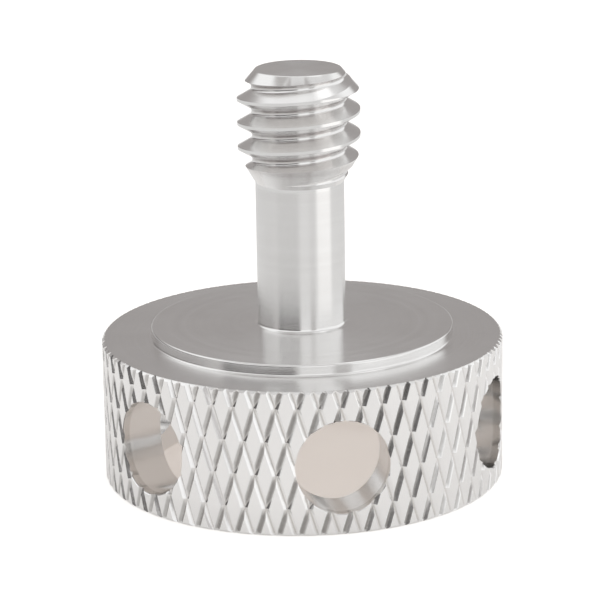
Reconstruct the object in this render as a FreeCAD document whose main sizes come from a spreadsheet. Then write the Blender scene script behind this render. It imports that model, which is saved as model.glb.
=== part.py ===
import FreeCAD, Part
import Sketcher
import math
import os

# Adjusting screw, turned from one bar: a knurled cup-shaped head with six radial holes,
# a raised seat, a smooth captive neck and a short 1/4-20 thread.
# Millimetres. +Z runs from the open underside of the head to the end of the thread.
# The origin is the middle of the rim that the screw stands on.

os.makedirs("parts", exist_ok=True)
doc = FreeCAD.newDocument("AdjustingScrew")

# Driving dimensions
SIZES = [
    ("head_diameter", 21.0, "over the knurl's flat tops"),
    ("head_height", 7.5, "rim to the face around the seat"),
    ("rim_chamfer", 0.2, "both ends of the knurled wall, a little deeper than the knurl"),
    ("cup_wall", 2.4, "thickness of the knurled wall"),
    ("cup_roof", 1.4, "thickness of the plate over the hollow"),
    ("cup_corner", 0.3, "left by the boring tool between the wall and the plate"),
    ("seat_diameter", 15.8, "raised flat around the neck"),
    ("seat_height", 0.6, "its step above the head"),
    ("seat_bevel", 0.12, "broken edge of the seat"),
    ("seat_foot", 0.15, "left by the tool at the foot of the step"),
    ("neck_diameter", 4.6, "smooth captive length"),
    ("neck_length", 7.6, "seat to the start of the run-out"),
    ("neck_foot", 0.22, "small cone at the foot of the neck"),
    ("thread_diameter", 6.35, "1/4 inch, over the crests"),
    ("thread_root", 4.86, "diameter at the bottom of the groove"),
    ("thread_pitch", 1.27, "20 turns to the inch"),
    ("thread_run_out", 1.5, "cone from the neck to the full diameter"),
    ("stem_length", 13.5, "seat to the end of the screw"),
    ("tip_diameter", 4.45, "flat end"),
    ("tip_bevel", 1.1, "length of the cone behind the flat end"),
    ("groove_lead", 0.69, "the groove starts this far below the run-out"),
    ("hole_diameter", 4.8, "radial holes through the wall"),
    ("hole_height", 3.5, "their axes above the rim"),
    ("hole_count", 6, "evenly round the wall, one along -Y"),
    ("hole_bevel", 0.06, "broken edge of each hole"),
    ("knurl_count", 60, "grooves round the head, of each hand"),
    ("knurl_angle", 17.6, "lean of the grooves from the axis, degrees"),
    ("knurl_depth", 0.18, "flat tops to the bottom of the grooves"),
    ("knurl_flank", 45.0, "slope of a groove's sides, degrees"),
    ("knurl_lift", 1.07, "lowest row of crossings above the rim"),
    ("knurl_turn", 2.34, "that row, turned from the -Y hole, degrees"),
]

sheet = doc.addObject("Spreadsheet::Sheet", "Sizes")
for row, (alias, value, note) in enumerate(SIZES, start=1):
    sheet.set(f"A{row}", alias)
    sheet.set(f"B{row}", str(value))
    sheet.set(f"C{row}", note)
    sheet.setAlias(f"B{row}", alias)
doc.recompute()


def size(alias):
    return float(sheet.get(alias))


# Heights and radii that several features share, as formulas on the sheet
HEAD_RADIUS = "Sizes.head_diameter / 2"
CUP_RADIUS = "Sizes.head_diameter / 2 - Sizes.cup_wall"
CUP_DEPTH = "Sizes.head_height - Sizes.cup_roof"
SEAT_RADIUS = "Sizes.seat_diameter / 2"
SEAT_TOP = "Sizes.head_height + Sizes.seat_height"
NECK_RADIUS = "Sizes.neck_diameter / 2"
NECK_TOP = SEAT_TOP + " + Sizes.neck_length"
THREAD_RADIUS = "Sizes.thread_diameter / 2"
STEM_TOP = SEAT_TOP + " + Sizes.stem_length"

# Cutting shapes reach this far past the metal that they cut, and the blank is this much too large
# where the knurling cut decides the surface
OVERCUT = 0.1
BLANK_RADIUS = HEAD_RADIUS + f" + {OVERCUT}"


def origin_plane(body, role):
    return next(f for f in body.Origin.OriginFeatures if f.Role == role)


def outline(body, name, role, corners):
    """A closed sketch on an origin plane; each corner is a pair of formulas, '0' lying on an axis."""
    sketch = body.newObject("Sketcher::SketchObject", name)
    sketch.AttachmentSupport = [(origin_plane(body, role), "")]
    sketch.MapMode = "FlatFace"
    doc.recompute()
    places = [FreeCAD.Vector(float(sheet.evalExpression(across)), float(sheet.evalExpression(along)), 0)
              for across, along in corners]
    count = len(corners)
    for i in range(count):
        sketch.addGeometry(Part.LineSegment(places[i], places[(i + 1) % count]), False)
    for i in range(count):
        sketch.addConstraint(Sketcher.Constraint("Coincident", i, 2, (i + 1) % count, 1))
    for i, (across, along) in enumerate(corners):
        for kind, formula, value, axis in (("DistanceX", across, places[i].x, -2),
                                           ("DistanceY", along, places[i].y, -1)):
            if formula == "0":
                sketch.addConstraint(Sketcher.Constraint("PointOnObject", i, 1, axis))
                continue
            index = sketch.addConstraint(Sketcher.Constraint(kind, -1, 1, i, 1, value))
            sketch.setExpression(f"Constraints[{index}]", formula)
    doc.recompute()
    return sketch


def circle_edges(shape, radius, height):
    """Names of the level circles of one radius at one height."""
    found = []
    for number, edge in enumerate(shape.Edges, start=1):
        box = edge.BoundBox
        level = abs(box.ZMin - height) < 1e-4 and abs(box.ZMax - height) < 1e-4
        if level and isinstance(edge.Curve, Part.Circle) and abs(edge.Curve.Radius - radius) < 1e-4:
            found.append(f"Edge{number}")
    return found


def dress(body, kind, name, base, edges, prop, formula):
    """A fillet or chamfer on the named edges of the feature before it."""
    feature = body.newObject(kind, name)
    feature.Base = (base, edges)
    feature.setExpression(prop, formula)
    doc.recompute()
    return feature


# Turned blank
blank = doc.addObject("PartDesign::Body", "Blank")
profile = outline(blank, "TurnedProfile", "XZ_Plane", [
    ("0", CUP_DEPTH),
    (CUP_RADIUS, CUP_DEPTH),
    (CUP_RADIUS, "0"),
    (BLANK_RADIUS, "0"),
    (BLANK_RADIUS, "Sizes.head_height"),
    (SEAT_RADIUS, "Sizes.head_height"),
    (SEAT_RADIUS, SEAT_TOP),
    (NECK_RADIUS, SEAT_TOP),
    (NECK_RADIUS, NECK_TOP),
    ("0", NECK_TOP),
])
turned = blank.newObject("PartDesign::Revolution", "Turned")
turned.Profile = profile
turned.ReferenceAxis = (profile, ["V_Axis"])
turned.Angle = 360
doc.recompute()

# Feet and broken edges of the turned faces
blank_radius = size("head_diameter") / 2 + OVERCUT
cup_radius = size("head_diameter") / 2 - size("cup_wall")
seat_top = size("head_height") + size("seat_height")
step = dress(blank, "PartDesign::Chamfer", "NeckFoot", turned,
             circle_edges(turned.Shape, size("neck_diameter") / 2, seat_top),
             "Size", "Sizes.neck_foot")
step = dress(blank, "PartDesign::Chamfer", "SeatFoot", step,
             circle_edges(step.Shape, size("seat_diameter") / 2, size("head_height")),
             "Size", "Sizes.seat_foot")
step = dress(blank, "PartDesign::Chamfer", "SeatEdge", step,
             circle_edges(step.Shape, size("seat_diameter") / 2, seat_top),
             "Size", "Sizes.seat_bevel")
step = dress(blank, "PartDesign::Chamfer", "CupCorner", step,
             circle_edges(step.Shape, cup_radius, size("head_height") - size("cup_roof")),
             "Size", "Sizes.cup_corner")

# Radial holes through the wall
hole_sketch = blank.newObject("Sketcher::SketchObject", "HoleSketch")
hole_sketch.AttachmentSupport = [(origin_plane(blank, "XZ_Plane"), "")]
hole_sketch.MapMode = "FlatFace"
hole_sketch.addGeometry(Part.Circle(FreeCAD.Vector(0, size("hole_height"), 0),
                                    FreeCAD.Vector(0, 0, 1), size("hole_diameter") / 2), False)
hole_sketch.addConstraint(Sketcher.Constraint("PointOnObject", 0, 3, -2))
hole_sketch.addConstraint(Sketcher.Constraint("DistanceY", -1, 1, 0, 3, size("hole_height")))
hole_sketch.addConstraint(Sketcher.Constraint("Diameter", 0, size("hole_diameter")))
hole_sketch.setExpression("Constraints[1]", "Sizes.hole_height")
hole_sketch.setExpression("Constraints[2]", "Sizes.hole_diameter")
doc.recompute()
hole = blank.newObject("PartDesign::Pocket", "Hole")
hole.Profile = hole_sketch
hole.Type = "Length"
hole.setExpression("Length", "Sizes.head_diameter")
hole.Reversed = False
doc.recompute()
if hole.Shape.Solids[0].CenterOfMass.y < 0:
    hole.Reversed = True
    doc.recompute()
holes = blank.newObject("PartDesign::PolarPattern", "Holes")
holes.Originals = [hole]
holes.Axis = (hole_sketch, ["V_Axis"])
holes.Angle = 360
holes.setExpression("Occurrences", "Sizes.hole_count")
blank.Tip = holes
doc.recompute()


def mouth_edges(shape):
    """Names of the edges where the holes leave the knurled wall."""
    found = []
    for number, edge in enumerate(shape.Edges, start=1):
        if isinstance(edge.Curve, (Part.Line, Part.Circle)):
            continue
        if all(abs(math.hypot(p.x, p.y) - blank_radius) < 0.01 for p in edge.discretize(9)):
            found.append(f"Edge{number}")
    return found


mouths = dress(blank, "PartDesign::Chamfer", "HoleEdges", holes, mouth_edges(holes.Shape),
               "Size", f"Sizes.hole_bevel + {OVERCUT}")
blank.Tip = mouths
doc.recompute()

# Threaded end: its run-out cone, full diameter and bevelled tip
end = doc.addObject("PartDesign::Body", "ThreadedEnd")
end_profile = outline(end, "EndProfile", "XZ_Plane", [
    ("0", NECK_TOP),
    (NECK_RADIUS, NECK_TOP),
    (THREAD_RADIUS, NECK_TOP + " + Sizes.thread_run_out"),
    (THREAD_RADIUS, STEM_TOP + " - Sizes.tip_bevel"),
    ("Sizes.tip_diameter / 2", STEM_TOP),
    ("0", STEM_TOP),
])
end_turned = end.newObject("PartDesign::Revolution", "EndTurned")
end_turned.Profile = end_profile
end_turned.ReferenceAxis = (end_profile, ["V_Axis"])
end_turned.Angle = 360
doc.recompute()

# Thread groove: a 60 degree V with a flat root, swept along the helix from below the run-out
GROOVE_START = NECK_TOP + " - Sizes.groove_lead"
HALF_MOUTH = "Sizes.thread_pitch * 7 / 16"
half_root = HALF_MOUTH + " - (Sizes.thread_diameter - Sizes.thread_root) / 2 * tan(30 deg)"
half_outer = HALF_MOUTH + f" + {OVERCUT} * tan(30 deg)"
groove = outline(end, "GrooveSketch", "XZ_Plane", [
    ("Sizes.thread_root / 2", f"{GROOVE_START} - ({half_root})"),
    (f"{THREAD_RADIUS} + {OVERCUT}", f"{GROOVE_START} - ({half_outer})"),
    (f"{THREAD_RADIUS} + {OVERCUT}", f"{GROOVE_START} + ({half_outer})"),
    ("Sizes.thread_root / 2", f"{GROOVE_START} + ({half_root})"),
])
thread = end.newObject("PartDesign::SubtractiveHelix", "Thread")
thread.Profile = groove
thread.ReferenceAxis = (groove, ["V_Axis"])
thread.Mode = "pitch-height-angle"
thread.setExpression("Pitch", "Sizes.thread_pitch")
thread.setExpression("Height", "Sizes.stem_length - Sizes.neck_length + Sizes.groove_lead + Sizes.thread_pitch")
thread.LeftHanded = False
end.Tip = thread
doc.recompute()


# Knurl: two hands of V grooves leave rows of flat-topped lozenges round the head.
# A lozenge's four corners are crossings of grooves, and neighbours share them.
# The rows at both ends are cut in half, so that the form closes with level faces.
def knurl_form():
    steps = 2 * int(size("knurl_count"))
    ring_step = 2 * math.pi / steps
    lean = math.radians(size("knurl_angle"))
    groove_gap = math.pi * size("head_diameter") / size("knurl_count")
    row = groove_gap / math.tan(lean) / 2
    top_radius = size("head_diameter") / 2
    valley = top_radius - size("knurl_depth")
    peak = valley + groove_gap * math.cos(lean) / 2 * math.tan(math.radians(size("knurl_flank")))
    below = -math.ceil((size("knurl_lift") + 2 * OVERCUT) / row)
    above = math.ceil((size("head_height") - size("knurl_lift") + 2 * OVERCUT) / row)
    turn = math.radians(size("knurl_turn") - 90)

    def crossing(level, step):
        angle = turn + (step % steps) * ring_step
        return FreeCAD.Vector(valley * math.cos(angle), valley * math.sin(angle),
                              size("knurl_lift") + level * row)

    def flat_top(level, step):
        angle = turn + step * ring_step
        outward = FreeCAD.Vector(math.cos(angle), math.sin(angle), 0)
        tip = outward * peak + FreeCAD.Vector(0, 0, size("knurl_lift") + level * row)
        corners = []
        for corner in (crossing(level + 1, step), crossing(level, step + 1),
                       crossing(level - 1, step), crossing(level, step - 1)):
            share = (peak - top_radius) / (peak - corner.dot(outward))
            corners.append((corner, tip + (corner - tip) * share))
        return corners

    def facet(*corners):
        return Part.Face(Part.makePolygon(list(corners) + [corners[0]]))

    faces = []
    ends = {below: [], above: []}
    for level in range(below, above + 1):
        for step in range(steps):
            if (level + step) % 2 == 0:
                continue
            upper, right, lower, left = flat_top(level, step)
            if level < above:
                faces.append(facet(left[0], upper[0], upper[1], left[1]))
                faces.append(facet(upper[0], right[0], right[1], upper[1]))
            if level > below:
                faces.append(facet(right[0], lower[0], lower[1], right[1]))
                faces.append(facet(lower[0], left[0], left[1], lower[1]))
            if level == above:
                faces.append(facet(left[1], right[1], lower[1]))
            elif level == below:
                faces.append(facet(left[1], upper[1], right[1]))
            else:
                faces.append(facet(left[1], upper[1], right[1], lower[1]))
            if level in ends:
                ends[level] += [left[0], left[1], right[1]]
    faces += [facet(*ring) for ring in ends.values()]
    solid = Part.makeSolid(Part.makeShell(faces))
    if solid.Volume < 0:
        solid.reverse()
    return solid


knurl = doc.addObject("Part::Feature", "KnurlForm")
knurl.Shape = knurl_form()

# Chamfers at both ends of the wall: a turned form that the knurl stays inside, run past both faces
envelope = doc.addObject("PartDesign::Body", "Envelope")
END_RADIUS = HEAD_RADIUS + f" - Sizes.rim_chamfer - 2 * {OVERCUT}"
envelope_profile = outline(envelope, "EnvelopeProfile", "XZ_Plane", [
    ("0", f"-2 * {OVERCUT}"),
    (END_RADIUS, f"-2 * {OVERCUT}"),
    (BLANK_RADIUS, f"Sizes.rim_chamfer + {OVERCUT}"),
    (BLANK_RADIUS, f"Sizes.head_height - Sizes.rim_chamfer - {OVERCUT}"),
    (END_RADIUS, f"Sizes.head_height + 2 * {OVERCUT}"),
    ("0", f"Sizes.head_height + 2 * {OVERCUT}"),
])
envelope_turned = envelope.newObject("PartDesign::Revolution", "EnvelopeTurned")
envelope_turned.Profile = envelope_profile
envelope_turned.ReferenceAxis = (envelope_profile, ["V_Axis"])
envelope_turned.Angle = 360
doc.recompute()
head_form = doc.addObject("Part::Common", "HeadForm")
head_form.Base = knurl
head_form.Tool = envelope
head_form.Refine = False

# The knurling cut takes everything outside that form, from a little past both faces
sleeve = doc.addObject("Part::Cylinder", "Sleeve")
sleeve.setExpression("Radius", f"{BLANK_RADIUS} + {OVERCUT}")
sleeve.setExpression("Height", f"Sizes.head_height + 2 * {OVERCUT}")
sleeve.Placement.Base = FreeCAD.Vector(0, 0, -OVERCUT)
knurl_cutter = doc.addObject("Part::Cut", "KnurlCutter")
knurl_cutter.Base = sleeve
knurl_cutter.Tool = head_form
knurl_cutter.Refine = False
knurled = doc.addObject("Part::Cut", "KnurledBlank")
knurled.Base = blank
knurled.Tool = knurl_cutter
knurled.Refine = False
doc.recompute()

# One solid screw
screw = doc.addObject("Part::Fuse", "Screw")
screw.Base = knurled
screw.Tool = end
screw.Refine = False
screw.Label = "adjusting_screw"
doc.recompute()

for item in doc.Objects:
    if "Invalid" in item.State or "Error" in item.State:
        raise RuntimeError(f"{item.Name} did not recompute: {item.State}")
shape = screw.Shape
if shape.isNull() or not shape.isValid() or len(shape.Solids) != 1:
    raise RuntimeError("the screw is not one valid solid")
shape.exportStep(f"parts/{screw.Label}.step")
print(screw.Label, "faces", len(shape.Faces), "volume", round(shape.Volume, 1), "box", shape.BoundBox)
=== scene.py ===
# %% [markdown]
# # An adjusting screw, turned and knurled
# The real screw is one piece of light metal: a hollow knurled head that it stands on, a raised seat,
# a smooth neck and a short thread. This lesson turns, knurls, drills and threads it in that order,
# and then gives it the finish that the cutting tools leave.

import math

import bpy
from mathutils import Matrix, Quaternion, Vector


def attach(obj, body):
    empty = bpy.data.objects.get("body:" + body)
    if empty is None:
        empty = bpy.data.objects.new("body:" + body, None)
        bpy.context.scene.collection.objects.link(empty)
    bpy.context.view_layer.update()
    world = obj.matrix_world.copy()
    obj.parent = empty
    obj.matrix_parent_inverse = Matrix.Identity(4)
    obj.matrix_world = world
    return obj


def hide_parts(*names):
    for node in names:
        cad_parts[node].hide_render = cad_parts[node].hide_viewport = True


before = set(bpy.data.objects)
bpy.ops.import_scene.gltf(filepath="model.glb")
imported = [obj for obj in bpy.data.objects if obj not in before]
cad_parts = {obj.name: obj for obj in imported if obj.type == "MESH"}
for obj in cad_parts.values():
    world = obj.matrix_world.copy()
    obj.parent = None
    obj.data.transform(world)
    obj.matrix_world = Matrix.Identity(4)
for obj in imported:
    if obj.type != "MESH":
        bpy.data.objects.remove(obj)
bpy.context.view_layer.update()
MM = 0.001

# %% [markdown]
# ## The camera
# The photograph's perspective was fitted first: a long lens, 15 cm away, looks down a little on the
# screw from in front. The camera looks at a point on the screw's axis, and a small roll and shift
# finish the match.

# %% Camera
AIM = Vector((0, 0, 10 * MM))
CAMERA_DISTANCE = 150 * MM
CAMERA_AZIMUTH = math.radians(-100.87)
CAMERA_ELEVATION = math.radians(15.5)
CAMERA_ROLL = math.radians(-0.916)

bpy.ops.object.select_all(action="DESELECT")
away = Vector((math.cos(CAMERA_ELEVATION) * math.cos(CAMERA_AZIMUTH),
               math.cos(CAMERA_ELEVATION) * math.sin(CAMERA_AZIMUTH),
               math.sin(CAMERA_ELEVATION)))
turn_to_aim = (-away).to_track_quat("-Z", "Y") @ Quaternion((0, 0, 1), CAMERA_ROLL)
bpy.ops.object.camera_add(location=AIM + away * CAMERA_DISTANCE, rotation=turn_to_aim.to_euler())
camera = bpy.context.active_object
camera.name = "camera"
camera.data.lens = 172.2
camera.data.sensor_width = 36
camera.data.shift_x = -0.00235
camera.data.shift_y = -0.02293
camera.data.clip_start = 0.01
camera.data.clip_end = 10
camera.data.dof.use_dof = False
bpy.context.scene.camera = camera
print("camera at, mm:", [round(c / MM, 1) for c in camera.location])

# %% [markdown]
# ## Sizes
# The lengths are the solid's own, in millimetres, so that the new piece lies where the solid is.
# Two follow the photograph more closely than the solid does: the chamfer at both ends of the wall is
# 0.12 mm in place of 0.2, and the rows of the knurl, further down, lie 0.3 mm higher.

# %% Sizes
HEAD_RADIUS = 10.5
HEAD_HEIGHT = 7.5
RIM_CHAMFER = 0.12
CUP_RADIUS = 8.1
CUP_DEPTH = 6.1
SEAT_RADIUS = 7.9
SEAT_TOP = 8.1
NECK_RADIUS = 2.3
NECK_TOP = 15.7
THREAD_RADIUS = 3.175
THREAD_ROOT = 2.43
THREAD_PITCH = 1.27
RUN_OUT = 1.5
STEM_TOP = 21.6
TIP_RADIUS = 2.225
TIP_BEVEL = 1.1
HOLE_RADIUS = 2.4
HOLE_HEIGHT = 3.5
HOLE_COUNT = 6
print("head", 2 * HEAD_RADIUS, "x", HEAD_HEIGHT, "mm, whole screw", STEM_TOP, "mm tall")

# %% [markdown]
# ## Turning
# A lathe makes every face that runs round the axis. The mesh is made the same way: a disc is added,
# and its edge is extruded ring by ring along the profile. Helpers pick rings by radius and height,
# so that corners can be rounded afterwards, as with a file.

# %% Turning helpers
ROUND = 240


def start_clean():
    if bpy.context.object and bpy.context.object.mode != "OBJECT":
        bpy.ops.object.mode_set(mode="OBJECT")
    bpy.ops.object.select_all(action="DESELECT")


def named(name):
    piece = bpy.context.active_object
    piece.name = name
    piece.data.name = name
    return piece


def work_on(piece):
    start_clean()
    piece.select_set(True)
    bpy.context.view_layer.objects.active = piece


def turned(name, profile, segments=ROUND):
    start_clean()
    radius, height = profile[0]
    bpy.ops.mesh.primitive_circle_add(vertices=segments, radius=radius * MM, fill_type="NGON",
                                      location=(0, 0, height * MM))
    piece = named(name)
    bpy.ops.object.transform_apply(location=True, rotation=True, scale=True)
    bpy.ops.object.mode_set(mode="EDIT")
    bpy.ops.mesh.select_all(action="SELECT")
    for next_radius, next_height in profile[1:]:
        bpy.ops.mesh.extrude_region_move(
            TRANSFORM_OT_translate={"value": (0, 0, (next_height - height) * MM)})
        grow = next_radius / radius
        bpy.ops.transform.resize(value=(grow, grow, 1), center_override=(0, 0, 0))
        radius, height = next_radius, next_height
    bpy.ops.mesh.select_all(action="SELECT")
    bpy.ops.mesh.normals_make_consistent(inside=False)
    bpy.ops.object.mode_set(mode="OBJECT")
    return piece


def round_ring(piece, radius, height, size, segments=4):
    """Rounds the ring of edges at one radius and height; one segment makes a chamfer."""
    work_on(piece)
    bpy.ops.object.mode_set(mode="EDIT")
    bpy.ops.mesh.select_mode(type="EDGE")
    bpy.ops.mesh.select_all(action="DESELECT")
    bpy.ops.object.mode_set(mode="OBJECT")
    corners = piece.data.vertices
    for edge in piece.data.edges:
        ends = [corners[i].co for i in edge.vertices]
        edge.select = all(abs(math.hypot(c.x, c.y) - radius * MM) < 0.01 * MM
                          and abs(c.z - height * MM) < 0.01 * MM for c in ends)
    bpy.ops.object.mode_set(mode="EDIT")
    bpy.ops.mesh.bevel(offset=size * MM, segments=segments, profile=0.5, affect="EDGES",
                       clamp_overlap=False)
    bpy.ops.object.mode_set(mode="OBJECT")


def combine(piece, tool, operation):
    """A boolean of two closed meshes; the tool is used up."""
    work_on(piece)
    step = piece.modifiers.new(operation.lower(), "BOOLEAN")
    step.operation = operation
    step.solver = "EXACT"
    step.object = tool
    bpy.ops.object.modifier_apply(modifier=step.name)
    bpy.data.objects.remove(tool)
    return piece


print("one turn has", ROUND, "steps")

# %% [markdown]
# ## The head blank
# The head is a thick cup, open below. The blank is turned a touch too large outside, because the
# knurl decides that surface. Its chamfers run on at 45 degrees past the knurl's crests. The corner at
# the bottom of the cup is round, as a boring tool leaves it, and its mouth has a broken edge.

# %% Head blank
SPARE = 0.1
CUP_CORNER = 0.3
CUP_EDGE = 0.08
head = turned("screw_head", [
    (CUP_RADIUS, CUP_DEPTH),
    (CUP_RADIUS, 0),
    (HEAD_RADIUS - RIM_CHAMFER, 0),
    (HEAD_RADIUS + SPARE, RIM_CHAMFER + SPARE),
    (HEAD_RADIUS + SPARE, HEAD_HEIGHT - RIM_CHAMFER - SPARE),
    (HEAD_RADIUS - RIM_CHAMFER, HEAD_HEIGHT),
])
round_ring(head, CUP_RADIUS, CUP_DEPTH, CUP_CORNER, 8)
round_ring(head, CUP_RADIUS, 0, CUP_EDGE, 2)
print("head blank:", len(head.data.polygons), "faces")

# %% [markdown]
# ## The knurl
# Two hardened wheels press spiral grooves into the head, one to the left and one to the right, and
# leave rows of long lozenges between them. One lozenge is modelled: a four-cornered disc, inset twice
# and raised, so that it has a flat top, sloping sides and a soft groove. Copies of it make a flat
# strip, which is then wrapped round the head, as a tyre is made from a strip of tread. The strip
# reaches a little past the wall at both ends and becomes a closed form that the blank is cut with.

# %% One lozenge
KNURL_COUNT = 60
KNURL_LEAN = math.radians(17.6)
KNURL_DEPTH = 0.18
KNURL_FLANK = math.radians(45)
KNURL_LIFT = 1.39
KNURL_TURN = math.radians(2.34 - 90)
GROOVE_SOFT = 0.02
LOZENGE_EDGE = 0.02
MERGE = 0.002

groove_gap = 2 * math.pi * HEAD_RADIUS / KNURL_COUNT
row_height = groove_gap / math.tan(KNURL_LEAN) / 2
flank_width = KNURL_DEPTH / math.tan(KNURL_FLANK)

start_clean()
bpy.ops.mesh.primitive_circle_add(vertices=4, radius=1, fill_type="NGON", rotation=(0, math.pi / 2, 0))
strip = named("knurl_form")
bpy.ops.object.transform_apply(location=True, rotation=True, scale=True)
bpy.ops.object.mode_set(mode="EDIT")
bpy.ops.mesh.select_all(action="SELECT")
bpy.ops.transform.resize(value=(1, groove_gap / 2 * MM, row_height * MM), center_override=(0, 0, 0))
bpy.ops.transform.translate(value=((HEAD_RADIUS - KNURL_DEPTH + GROOVE_SOFT / 3) * MM, 0, 0))
bpy.ops.mesh.inset(thickness=GROOVE_SOFT * MM, use_even_offset=True)
bpy.ops.transform.translate(value=(GROOVE_SOFT * 2 / 3 * MM, 0, 0))
bpy.ops.mesh.inset(thickness=(flank_width - GROOVE_SOFT) * MM, use_even_offset=True)
bpy.ops.transform.translate(value=((KNURL_DEPTH - GROOVE_SOFT) * MM, 0, 0))
bpy.ops.mesh.bevel(offset=LOZENGE_EDGE * MM, segments=1, profile=0.5, affect="EDGES",
                   clamp_overlap=False)
bpy.ops.object.mode_set(mode="OBJECT")
print("one lozenge:", len(strip.data.polygons), "faces,",
      round(groove_gap, 3), "x", round(2 * row_height, 3), "mm")

# %% Strip of lozenges
REACH = 0.3
PAST_WALL = 0.2
levels_below = math.ceil((KNURL_LIFT + REACH) / row_height)
levels_above = math.ceil((HEAD_HEIGHT - KNURL_LIFT + REACH) / row_height)
pairs = math.ceil((levels_below + levels_above) / 2) + 1


def repeat(piece, count, step):
    work_on(piece)
    array = piece.modifiers.new("repeat", "ARRAY")
    array.count = count
    array.use_relative_offset = False
    array.use_constant_offset = True
    array.constant_offset_displace = step
    bpy.ops.object.modifier_apply(modifier=array.name)


repeat(strip, KNURL_COUNT, (0, groove_gap * MM, 0))
repeat(strip, pairs, (0, 0, 2 * row_height * MM))
work_on(strip)
bpy.ops.object.mode_set(mode="EDIT")
bpy.ops.mesh.select_all(action="SELECT")
bpy.ops.mesh.duplicate_move(
    TRANSFORM_OT_translate={"value": (0, groove_gap / 2 * MM, row_height * MM)})
bpy.ops.mesh.select_all(action="SELECT")
lowest = KNURL_LIFT - levels_below * row_height
if levels_below % 2 == 0:
    shift = groove_gap / 2
else:
    shift = 0
bpy.ops.transform.translate(value=(0, shift * MM, lowest * MM))
bpy.ops.mesh.remove_doubles(threshold=MERGE * MM)
for level, outward in ((-PAST_WALL, -1), (HEAD_HEIGHT + PAST_WALL, 1)):
    bpy.ops.mesh.select_all(action="SELECT")
    bpy.ops.mesh.bisect(plane_co=(0, 0, level * MM), plane_no=(0, 0, outward), clear_outer=True,
                        threshold=0.0001 * MM)
bpy.ops.object.mode_set(mode="OBJECT")
print("flat strip:", len(strip.data.polygons), "faces")

# %% Wrap the strip and close it
for corner in strip.data.vertices:
    angle = corner.co.y / (HEAD_RADIUS * MM) + KNURL_TURN
    corner.co.y = corner.co.x * math.sin(angle)
    corner.co.x = corner.co.x * math.cos(angle)
work_on(strip)
bpy.ops.object.mode_set(mode="EDIT")
bpy.ops.mesh.select_all(action="SELECT")
bpy.ops.mesh.remove_doubles(threshold=MERGE * MM)
for level in (-PAST_WALL, HEAD_HEIGHT + PAST_WALL):
    bpy.ops.mesh.select_all(action="DESELECT")
    bpy.ops.object.mode_set(mode="OBJECT")
    corners = strip.data.vertices
    for edge in strip.data.edges:
        edge.select = all(abs(corners[i].co.z - level * MM) < 0.001 * MM for i in edge.vertices)
    bpy.ops.object.mode_set(mode="EDIT")
    bpy.ops.mesh.select_mode(type="EDGE")
    bpy.ops.mesh.edge_face_add()
bpy.ops.mesh.select_all(action="SELECT")
bpy.ops.mesh.normals_make_consistent(inside=False)
bpy.ops.mesh.select_all(action="DESELECT")
bpy.ops.mesh.select_non_manifold()
bpy.ops.object.mode_set(mode="OBJECT")
print("knurl form:", len(strip.data.polygons), "faces, open edges",
      sum(edge.select for edge in strip.data.edges))

# %% Knurl the head
combine(head, strip, "INTERSECT")
print("knurled head:", len(head.data.polygons), "faces")

# %% [markdown]
# ## The radial holes
# Six holes go through the wall. Their mouths have an even broken edge, which follows the round wall,
# so each ring of the drill-shaped cutter is bent to the wall's own curve. Each ring is written as a
# radius and a depth below the wall's surface. The rings are first drawn one metre apart, so that a
# point's own place tells which ring it belongs to.

# %% Hole cutters
HOLE_BEVEL = 0.06
HOLE_STEPS = 96
INTO_CUP = 4.5
CLEAR = 0.3
cutter_rings = [
    (HOLE_RADIUS, INTO_CUP),
    (HOLE_RADIUS, HOLE_BEVEL + 0.03),
    (HOLE_RADIUS + 0.012, HOLE_BEVEL - 0.02),
    (HOLE_RADIUS + HOLE_BEVEL, 0),
    (HOLE_RADIUS + HOLE_BEVEL + CLEAR, -CLEAR),
]
start_clean()
bpy.ops.mesh.primitive_circle_add(vertices=HOLE_STEPS, radius=HOLE_RADIUS * MM, fill_type="NGON",
                                  rotation=(math.pi / 2, 0, 0))
cutter = named("hole_cutter")
bpy.ops.object.transform_apply(location=True, rotation=True, scale=True)
bpy.ops.object.mode_set(mode="EDIT")
bpy.ops.mesh.select_all(action="SELECT")
for number in range(1, len(cutter_rings)):
    bpy.ops.mesh.extrude_region_move(TRANSFORM_OT_translate={"value": (0, -1, 0)})
    grow = cutter_rings[number][0] / cutter_rings[number - 1][0]
    bpy.ops.transform.resize(value=(grow, 1, grow), center_override=(0, 0, 0))
bpy.ops.object.mode_set(mode="OBJECT")
for corner in cutter.data.vertices:
    depth = cutter_rings[round(-corner.co.y)][1]
    corner.co.y = -math.sqrt((HEAD_RADIUS * MM) ** 2 - corner.co.x ** 2) + depth * MM
    corner.co.z += HOLE_HEIGHT * MM
work_on(cutter)
bpy.ops.object.mode_set(mode="EDIT")
bpy.ops.mesh.select_all(action="SELECT")
bpy.ops.mesh.normals_make_consistent(inside=False)
for number in range(1, HOLE_COUNT):
    bpy.ops.mesh.duplicate()
    bpy.ops.transform.rotate(value=2 * math.pi / HOLE_COUNT, orient_axis="Z", center_override=(0, 0, 0))
bpy.ops.object.mode_set(mode="OBJECT")
combine(head, cutter, "DIFFERENCE")
print("drilled head:", len(head.data.polygons), "faces")

# %% [markdown]
# ## The seat, neck and thread blank
# The seat is a low raised ring. The neck is thinner than the thread's root, so a threaded plate
# turns freely on it and can't fall off. All of it is one turned profile that starts inside the head.
# A tool's nose is never quite sharp, so the seat's foot and the neck's foot are left a little round.

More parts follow.
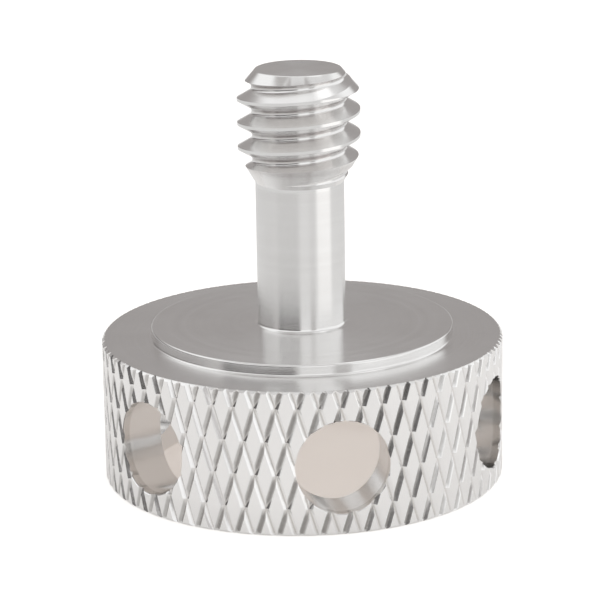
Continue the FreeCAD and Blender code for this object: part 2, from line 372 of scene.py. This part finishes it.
# %% Spindle
SEAT_FOOT = 0.15
SEAT_BEVEL = 0.12
NECK_FOOT = 0.22
TIP_EDGE = 0.06
INSIDE_HEAD = 7.0
spindle = turned("screw_spindle", [
    (SEAT_RADIUS + 0.2, INSIDE_HEAD),
    (SEAT_RADIUS + 0.2, HEAD_HEIGHT),
    (SEAT_RADIUS, HEAD_HEIGHT),
    (SEAT_RADIUS, SEAT_TOP),
    (NECK_RADIUS, SEAT_TOP),
    (NECK_RADIUS, NECK_TOP),
    (THREAD_RADIUS, NECK_TOP + RUN_OUT),
    (THREAD_RADIUS, STEM_TOP - TIP_BEVEL),
    (TIP_RADIUS, STEM_TOP),
])
round_ring(spindle, SEAT_RADIUS, HEAD_HEIGHT, SEAT_FOOT, 8)
round_ring(spindle, SEAT_RADIUS, SEAT_TOP, SEAT_BEVEL, 8)
round_ring(spindle, NECK_RADIUS, SEAT_TOP, NECK_FOOT, 8)
round_ring(spindle, TIP_RADIUS, STEM_TOP, TIP_EDGE, 4)
print("spindle:", len(spindle.data.polygons), "faces")

# %% [markdown]
# ## The thread
# The thread is what a pointed tool leaves when it follows a spiral. The tool's outline, a blunt V,
# is drawn once, with its inner corners rounded, and swept by the Screw modifier. The sweep is then cut
# from the blank. Where it enters the cone under the thread, it makes the run-out by itself.

# %% Thread groove
GROOVE_LEAD = 0.69
TURN_STEPS = 96
ROOT_ROUND = 0.11
PAST_CREST = 0.3
FINE_MERGE = 0.0005
half_mouth = THREAD_PITCH * 7 / 16
slope = math.tan(math.radians(30))
half_root = half_mouth - (THREAD_RADIUS - THREAD_ROOT) * slope
groove_turns = math.ceil((STEM_TOP - NECK_TOP + GROOVE_LEAD + THREAD_PITCH) / THREAD_PITCH)

start_clean()
bpy.ops.mesh.primitive_plane_add(size=1, rotation=(math.pi / 2, 0, 0))
groove = named("thread_groove")
bpy.ops.object.transform_apply(location=True, rotation=True, scale=True)
for corner in groove.data.vertices:
    if corner.co.x > 0:
        corner.co.x = (THREAD_RADIUS + PAST_CREST) * MM
        half = half_mouth + PAST_CREST * slope
    else:
        corner.co.x = THREAD_ROOT * MM
        half = half_root
    corner.co.z = math.copysign(half * MM, corner.co.z) + (NECK_TOP - GROOVE_LEAD) * MM
work_on(groove)
bpy.ops.object.mode_set(mode="EDIT")
bpy.ops.mesh.select_mode(type="VERT")
bpy.ops.mesh.select_all(action="DESELECT")
bpy.ops.object.mode_set(mode="OBJECT")
for corner in groove.data.vertices:
    corner.select = corner.co.x < (THREAD_ROOT + 0.01) * MM
bpy.ops.object.mode_set(mode="EDIT")
bpy.ops.mesh.bevel(offset=ROOT_ROUND * MM, segments=6, affect="VERTICES", clamp_overlap=False)
bpy.ops.mesh.select_all(action="SELECT")
bpy.ops.mesh.delete(type="ONLY_FACE")
bpy.ops.object.mode_set(mode="OBJECT")
sweep = groove.modifiers.new("sweep", "SCREW")
sweep.axis = "Z"
sweep.angle = 2 * math.pi
sweep.screw_offset = THREAD_PITCH * MM
sweep.iterations = groove_turns
sweep.steps = TURN_STEPS
sweep.render_steps = TURN_STEPS
sweep.use_merge_vertices = False
work_on(groove)
bpy.ops.object.modifier_apply(modifier=sweep.name)
bpy.ops.object.mode_set(mode="EDIT")
bpy.ops.mesh.select_all(action="SELECT")
bpy.ops.mesh.remove_doubles(threshold=FINE_MERGE * MM)
bpy.ops.mesh.select_all(action="DESELECT")
bpy.ops.mesh.select_mode(type="EDGE")
bpy.ops.mesh.select_non_manifold()
bpy.ops.mesh.fill_holes(sides=0)
bpy.ops.mesh.select_all(action="SELECT")
bpy.ops.mesh.normals_make_consistent(inside=False)
bpy.ops.object.mode_set(mode="OBJECT")
combine(spindle, groove, "DIFFERENCE")
print("threaded spindle:", len(spindle.data.polygons), "faces,", groove_turns, "turns of groove")

# %% [markdown]
# ## One piece
# The head and the spindle are cut from one bar, so they are joined into one closed mesh. Edges that
# turn by less than 13 degrees are shaded smooth: that keeps the round faces even and the sides of the
# knurl crisp, because each side of a lozenge has to mirror its own part of the room.

# %% Join
SMOOTH_BELOW = math.radians(13)
screw = combine(head, spindle, "UNION")
screw.name = "screw_metal"
screw.data.name = "screw_metal"
work_on(screw)
bpy.ops.object.mode_set(mode="EDIT")
bpy.ops.mesh.select_all(action="SELECT")
bpy.ops.mesh.remove_doubles(threshold=FINE_MERGE * MM)
bpy.ops.mesh.select_all(action="DESELECT")
bpy.ops.mesh.select_mode(type="EDGE")
bpy.ops.mesh.select_non_manifold()
bpy.ops.object.mode_set(mode="OBJECT")
print("whole screw:", len(screw.data.polygons), "faces, open edges",
      sum(edge.select for edge in screw.data.edges))
work_on(screw)
bpy.ops.object.shade_smooth_by_angle(angle=SMOOTH_BELOW)
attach(screw, "root")
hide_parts("adjusting_screw")

# %% [markdown]
# ## Sums of shader sockets
# A finish is easier to read as a sum than as a web of nodes. This small class wraps one socket, so that
# ordinary signs add the Math nodes. One more helper adds any other node.

# %% Shader sums
class Sum:
    """A node socket that can stand in a sum, so that 1 - mask adds its own Math node."""

    def __init__(self, tree, socket):
        self.tree = tree
        self.socket = socket

    def maths(self, operation, *values):
        return node(self.tree, "ShaderNodeMath", {"operation": operation}, dict(enumerate(values)))

    def alone(self, operation):
        return self.maths(operation, self)

    def __add__(self, other):
        return self.maths("ADD", self, other)

    def __radd__(self, other):
        return self.maths("ADD", other, self)

    def __sub__(self, other):
        return self.maths("SUBTRACT", self, other)

    def __rsub__(self, other):
        return self.maths("SUBTRACT", other, self)

    def __mul__(self, other):
        return self.maths("MULTIPLY", self, other)

    def __rmul__(self, other):
        return self.maths("MULTIPLY", other, self)

    def __truediv__(self, other):
        return self.maths("DIVIDE", self, other)

    def __rtruediv__(self, other):
        return self.maths("DIVIDE", other, self)

    def __pow__(self, other):
        return self.maths("POWER", self, other)


def node(tree, kind, settings=None, values=None, output=0):
    """Any node: its settings first, then the numbers, colours or links of its sockets."""
    made = tree.nodes.new(kind)
    for name, value in (settings or {}).items():
        setattr(made, name, value)
    for name, value in (values or {}).items():
        if isinstance(value, Sum):
            tree.links.new(value.socket, made.inputs[name])
        else:
            made.inputs[name].default_value = value
    return Sum(tree, made.outputs[output])


print("sums ready")

# %% [markdown]
# ## Helpers for masks and noise
# A mask is a number from 0 to 1 that says where a finish lies. Most masks here are a soft step or a band
# along a length, so those two come first. The others mix colours, split a place into its three lengths
# and make noise.

# %% Masks, colours and noise
def between(field, low, high):
    """A soft step from 0 at low to 1 at high."""
    return node(field.tree, "ShaderNodeMapRange", {"interpolation_type": "SMOOTHSTEP"},
                {"Value": field, "From Min": low, "From Max": high})


def band(field, low, high, soft):
    """1 between low and high, fading to 0 outside."""
    return between(field, low - soft, low) * (1 - between(field, high, high + soft))


def blend(factor, first, second):
    """A colour between two colours. The Mix node has a socket set for each kind of data."""
    factor_in, first_in, second_in, colour_out = 0, 6, 7, 2
    return node(factor.tree, "ShaderNodeMix", {"data_type": "RGBA"},
                {factor_in: factor, first_in: first, second_in: second}, colour_out)


def parts(vector):
    split = node(vector.tree, "ShaderNodeSeparateXYZ", values={0: vector}).socket.node
    return [Sum(vector.tree, split.outputs[i]) for i in range(3)]


def place_in_mm(tree):
    place = node(tree, "ShaderNodeTexCoord", output="Object")
    return node(tree, "ShaderNodeVectorMath", {"operation": "SCALE"}, {0: place, "Scale": 1 / MM})


def noise(place, scale, detail=2.0, roughness=0.5):
    return node(place.tree, "ShaderNodeTexNoise", {"noise_dimensions": "3D"},
                {"Vector": place, "Scale": scale, "Detail": detail, "Roughness": roughness})


def noise_along(distance, scale, detail=2.0):
    """Noise that changes along one distance only, as the marks of a feeding tool do."""
    return node(distance.tree, "ShaderNodeTexNoise", {"noise_dimensions": "1D"},
                {"W": distance, "Scale": scale, "Detail": detail})


print("masks ready")

# %% [markdown]
# ## Where each finish lies
# The metal has two finishes. A cutting tool has turned the level faces, the neck and the thread, and
# the knurl is pressed. The masks come from three measures of the screw itself: the height above the rim
# and the radius from the axis, both in millimetres, and how level a face is, which the normal tells.
# The bores and the hollow keep the plainer finish of the knurled wall, because they lie below its
# upper edge.

# %% Places on the metal
metal = bpy.data.materials.new("turned_light_metal")
metal.use_nodes = True
finish = metal.node_tree
in_mm = place_in_mm(finish)
x, y, z = parts(in_mm)
radius = (x * x + y * y) ** 0.5
up = parts(node(finish, "ShaderNodeTexCoord", output="Normal"))[2]
level = between(up.alone("ABSOLUTE"), 0.75, 0.95)

above_wall = between(z, HEAD_HEIGHT - 0.06, HEAD_HEIGHT - 0.01)
rim_face = 1 - between(z, 0.02, 0.06)
turned_zone = 1 - (1 - above_wall) * (1 - rim_face)
knurled = between(radius, 9.95, 10.1) * band(z, RIM_CHAMFER, HEAD_HEIGHT - RIM_CHAMFER, 0.05)
neck_side = 1 - between(radius, NECK_RADIUS + 0.05, NECK_RADIUS + 0.15)
neck_zone = band(z, SEAT_TOP + 0.25, NECK_TOP - 0.2, 0.1) * neck_side
print("zones: turned, knurled, neck")

# %% [markdown]
# ## The turned finish
# A turning tool leaves fine rings, close together, on every face that it cuts. They spread a reflection
# across the rings and keep it sharp along them, which the shader's anisotropy gives. With no tangent
# linked it follows the way round the Z axis, and a rotation of a quarter turns the blur across the
# rings. The rings themselves are noise that changes only along the tool's way: the radius on level
# faces, the height on the others.
# Handling leaves faint smudges. The thread's grooves carry painted shade: brownish patches, strongest on
# the sides that face down.

# %% Turned finish
TURNED_LIGHT = (0.90, 0.897, 0.893, 1)
TURNED_DARK = (0.83, 0.823, 0.815, 1)
THREAD_PAINTED_SHADE = (0.42, 0.385, 0.375, 1)
THREAD_SHADE_SHARE = 0.85
TURNED_RELIEF = 0.05
BUMP_HEIGHT = 0.02 * MM

tool_way = radius * level + z * (1 - level)
rings = noise_along(tool_way, 16, 3)
wide_rings = noise_along(tool_way, 2.2)
smudge = noise(in_mm, 0.28, 4, 0.6)
specks = noise(in_mm, 5, 3, 0.6)

turned_tone = 0.3 * rings + 0.2 * wide_rings + 0.5 * smudge
turned_colour = blend(between(turned_tone, 0.3, 0.7), TURNED_DARK, TURNED_LIGHT)
# painted shade: brownish patches in the thread's grooves, strongest on the sides that face down
in_groove = 1 - between(radius, THREAD_ROOT + 0.27, THREAD_RADIUS - 0.125)
in_thread = between(z, NECK_TOP + 0.5, NECK_TOP + 1.2) * in_groove * (1 - level)
painted_thread_shade = in_thread * (1 - between(up, -0.4, 0.3)) * between(smudge + 0.3 * specks, 0.45, 0.8)
turned_colour = blend(THREAD_SHADE_SHARE * painted_thread_shade, turned_colour, THREAD_PAINTED_SHADE)

ring_height = rings * 0.7 + wide_rings * 0.3
turned_bump = node(finish, "ShaderNodeBump", values={
    "Strength": TURNED_RELIEF, "Distance": BUMP_HEIGHT, "Height": ring_height})
turned_roughness = 0.08 + 0.11 * neck_zone + 0.09 * level + 0.06 * rings + 0.06 * smudge
turned_finish = node(finish, "ShaderNodeBsdfPrincipled", values={
    "Base Color": turned_colour, "Metallic": 1.0, "Roughness": turned_roughness, "Normal": turned_bump,
    "Anisotropic": 0.8, "Anisotropic Rotation": 0.25})
print("turned finish: anisotropic, with rings and film")

# %% [markdown]
# ## The knurled finish
# The knurl is pressed, not cut, so its shader has no direction. Its grooves are painted with shade, a
# little darker than its flat tops, and the grooves that lean to the right get darker painted shade still,
# in short strokes that stop before each crossing. Those strokes are found as the grooves were made: each
# family of grooves is a set of even lines on the unrolled wall, and the fraction of a count of lines
# gives a point's distance from the nearest one.

# %% Knurled finish
KNURL_LIGHT = (0.95, 0.947, 0.943, 1)
KNURL_DARK = (0.80, 0.785, 0.77, 1)
STROKE_PAINTED_SHADE = (0.52, 0.51, 0.50, 1)
KNURL_RELIEF = 0.15
line_gap = groove_gap * math.cos(KNURL_LEAN)


def off_line(count):
    """Millimetres to the nearest groove, where count is a whole number on each groove."""
    moved = count + 0.5
    nearest = moved.alone("FRACT") - 0.5
    return nearest.alone("ABSOLUTE") * line_gap


round_wall = (y.maths("ARCTAN2", y, x) - KNURL_TURN) * (HEAD_RADIUS / groove_gap)
up_wall = (z - KNURL_LIFT) / (2 * row_height)
# painted shade: short dark strokes on the grooves that lean to the right, stopping before each crossing
on_right_leaning = 1 - between(off_line(round_wall - up_wall), 0.08, 0.19)
off_crossings = between(off_line(round_wall + up_wall), 0.06, 0.26)
below_tops = 1 - between(radius, HEAD_RADIUS - 0.06, HEAD_RADIUS - 0.02)
painted_stroke_shade = on_right_leaning * off_crossings * below_tops * knurled
# painted shade: the knurl's grooves are coloured darker than its flat tops
painted_knurl_groove_shade = (1 - between(radius, HEAD_RADIUS - 0.18, HEAD_RADIUS - 0.08)) * knurled

knurl_colour = blend(between(painted_knurl_groove_shade + 0.25 * specks, 0.1, 1.3), KNURL_LIGHT, KNURL_DARK)
knurl_colour = blend(painted_stroke_shade * (0.6 + 0.4 * specks), knurl_colour, STROKE_PAINTED_SHADE)
knurl_bump = node(finish, "ShaderNodeBump", values={
    "Strength": KNURL_RELIEF, "Distance": BUMP_HEIGHT, "Height": specks})
knurl_roughness = 0.10 + 0.10 * smudge + 0.08 * specks
knurl_finish = node(finish, "ShaderNodeBsdfPrincipled", values={
    "Base Color": knurl_colour, "Metallic": 1.0, "Roughness": knurl_roughness, "Normal": knurl_bump})
print("knurled finish: grooves", round(line_gap, 3), "mm apart")

# %% [markdown]
# ## Both finishes together
# A Mix Shader lays the turned finish over the knurled one where the mask of the turned faces is 1.

# %% Metal
whole_finish = node(finish, "ShaderNodeMixShader",
                    values={0: turned_zone, 1: knurl_finish, 2: turned_finish})
finish.links.new(whole_finish.socket, finish.nodes["Material Output"].inputs["Surface"])
finish.nodes.remove(finish.nodes["Principled BSDF"])
screw.data.materials.clear()
screw.data.materials.append(metal)
print("metal:", len(finish.nodes), "nodes")

# %% [markdown]
# ## The floor
# The screw stands on pale paper. The paper is lit like anything else, so it keeps the screw's shadow,
# and a glow lifts it to white where the camera sees it and to a softer tone where the metal mirrors it.
# The neck mirrors floor some 40 mm away, which is a little dimmer in the metal, with one brighter
# patch to the right that gives the neck its bright stripe. Under the hollow head little light from
# above arrives, and what the holes show there is warm.

# %% Sides of the camera
level_way = Vector((away.x, away.y)).normalized()
DEGREES = 180 / math.pi


def camera_sides(x, y):
    """How far a place lies towards the camera and to its right, from the screw's axis."""
    to_camera = x * level_way.x + y * level_way.y
    to_right = y * level_way.x - x * level_way.y
    return to_camera, to_right


def round_camera(x, y):
    """Degrees round the axis from the camera's side, growing to the right."""
    to_camera, to_right = camera_sides(x, y)
    return to_right.maths("ARCTAN2", to_right, to_camera) * DEGREES


print("the camera's side lies at", [round(c, 3) for c in level_way])

# %% Floor
PAPER = (0.75, 0.74, 0.73, 1)
FAR_PAPER = (0.63, 0.635, 0.635, 1)
PAPER_GLOW = (1.0, 0.985, 0.965, 1)
HOLLOW_GLOW = (0.51, 0.455, 0.415, 1)
PAPER_DROP = 0.02

start_clean()
bpy.ops.mesh.primitive_plane_add(size=4, location=(0, 0, -PAPER_DROP * MM))
floor = named("floor")
paper = bpy.data.materials.new("floor_paper")
paper.use_nodes = True
sheet = paper.node_tree
paper_x, paper_y = parts(place_in_mm(sheet))[:2]
from_axis = (paper_x * paper_x + paper_y * paper_y) ** 0.5
under_head = 1 - between(from_axis, 8.0, 9.6)
far = between(from_axis, 36, 44)
bright_patch = far * band(round_camera(paper_x, paper_y), 48, 78, 11)
print("paper", PAPER_DROP, "mm below the rim")

# %% Glow of the paper
camera_ray = node(sheet, "ShaderNodeLightPath", output="Is Camera Ray")
glossy_ray = node(sheet, "ShaderNodeLightPath", output="Is Glossy Ray")
seen_glow = 0.6 + 0.25 * under_head
mirrored_glow = 0.24 + 0.42 * under_head + 0.42 * bright_patch
paper_glow = node(sheet, "ShaderNodeEmission", values={
    "Color": blend(under_head, PAPER_GLOW, HOLLOW_GLOW),
    "Strength": camera_ray * seen_glow + glossy_ray * mirrored_glow})
lit_paper = sheet.nodes["Principled BSDF"]
sheet.links.new(blend(glossy_ray * far, PAPER, FAR_PAPER).socket, lit_paper.inputs["Base Color"])
lit_paper.inputs["Roughness"].default_value = 0.9
lit_paper.inputs["Specular IOR Level"].default_value = 0.0
both = node(sheet, "ShaderNodeAddShader", values={0: Sum(sheet, lit_paper.outputs[0]), 1: paper_glow})
sheet.links.new(both.socket, sheet.nodes["Material Output"].inputs["Surface"])
floor.data.materials.append(paper)
print("floor:", len(sheet.nodes), "nodes")

# %% [markdown]
# ## The room
# Bright metal shows the room more than its own colour, so the light is painted by direction: degrees
# round the screw from the camera's side, and degrees above the floor. It starts at 1 everywhere. Each
# dim part takes its share away, and two small lamps high up add some. The dark part left of the camera
# draws the dark strokes of the knurl, the grey wall behind gives the level faces their tone, and the
# parts high up shade the thread.

# %% Directions in the room
world = bpy.data.worlds.new("studio")
bpy.context.scene.world = world
world.use_nodes = True
room = world.node_tree
way_x, way_y, way_up = parts(node(room, "ShaderNodeTexCoord", output="Generated"))
round_way = round_camera(way_x, way_y)
height = way_up.alone("ARCSINE") * DEGREES
to_front, to_side = camera_sides(way_x, way_y)
low = 1 - between(height, 18, 32)
print("directions in degrees")

# %% Dim parts and lamps
dim_parts = {
    "dark, left of the camera": (0.9, band(round_way, -58, -8, 8) * low),
    "narrow grey, right of the camera": (0.5, band(round_way, 26, 34, 5) * low),
    "left wall": (0.55, band(round_way, -140, -60, 12) * low),
    "foot of the left wall": (0.6, band(round_way, -140, -85, 15) * (1 - between(height, 8, 16))),
    "wall behind": (0.62, (1 - band(round_way, -138, 132, 12)) * (1 - between(height, 34, 52))),
    "high left": (0.5, band(round_way, -110, -62, 10) * between(height, 52, 60)),
    "high front": (0.5, band(round_way, -45, 45, 12) * between(height, 44, 56)),
    "high right": (0.25, band(round_way, 60, 150, 15) * between(height, 36, 48)),
}
light = 1
for share, part in dim_parts.values():
    light = light * (1 - share * part)
back_lamp = band(round_way, 105, 150, 12) * band(height, 61, 72, 5)
front_lamp = band(to_side, -0.17, 0.15, 0.04) * band(to_front, 0.12, 0.32, 0.05) * between(height, 60, 66)
light = light + 0.6 * back_lamp + 0.3 * front_lamp
print("dim parts:", ", ".join(dim_parts))

# %% [markdown]
# ## Light and background
# A camera ray that meets nothing sees plain white, which is the photograph's background. All other rays
# meet the painted light. Its dim parts are slightly warm, as walls are.

# %% World
ROOM_LIGHT = (1, 1, 1, 1)
ROOM_WARM = (1.0, 0.94, 0.92, 1)
seen = node(room, "ShaderNodeLightPath", output="Is Camera Ray")
backdrop = room.nodes["Background"]
room.links.new((seen + (1 - seen) * light).socket, backdrop.inputs["Strength"])
warm = (1 - seen) * (1 - between(light, 0.2, 0.9))
room.links.new(blend(warm, ROOM_LIGHT, ROOM_WARM).socket, backdrop.inputs["Color"])
bpy.context.scene.view_settings.view_transform = "Standard"
print("room:", len(room.nodes), "nodes")
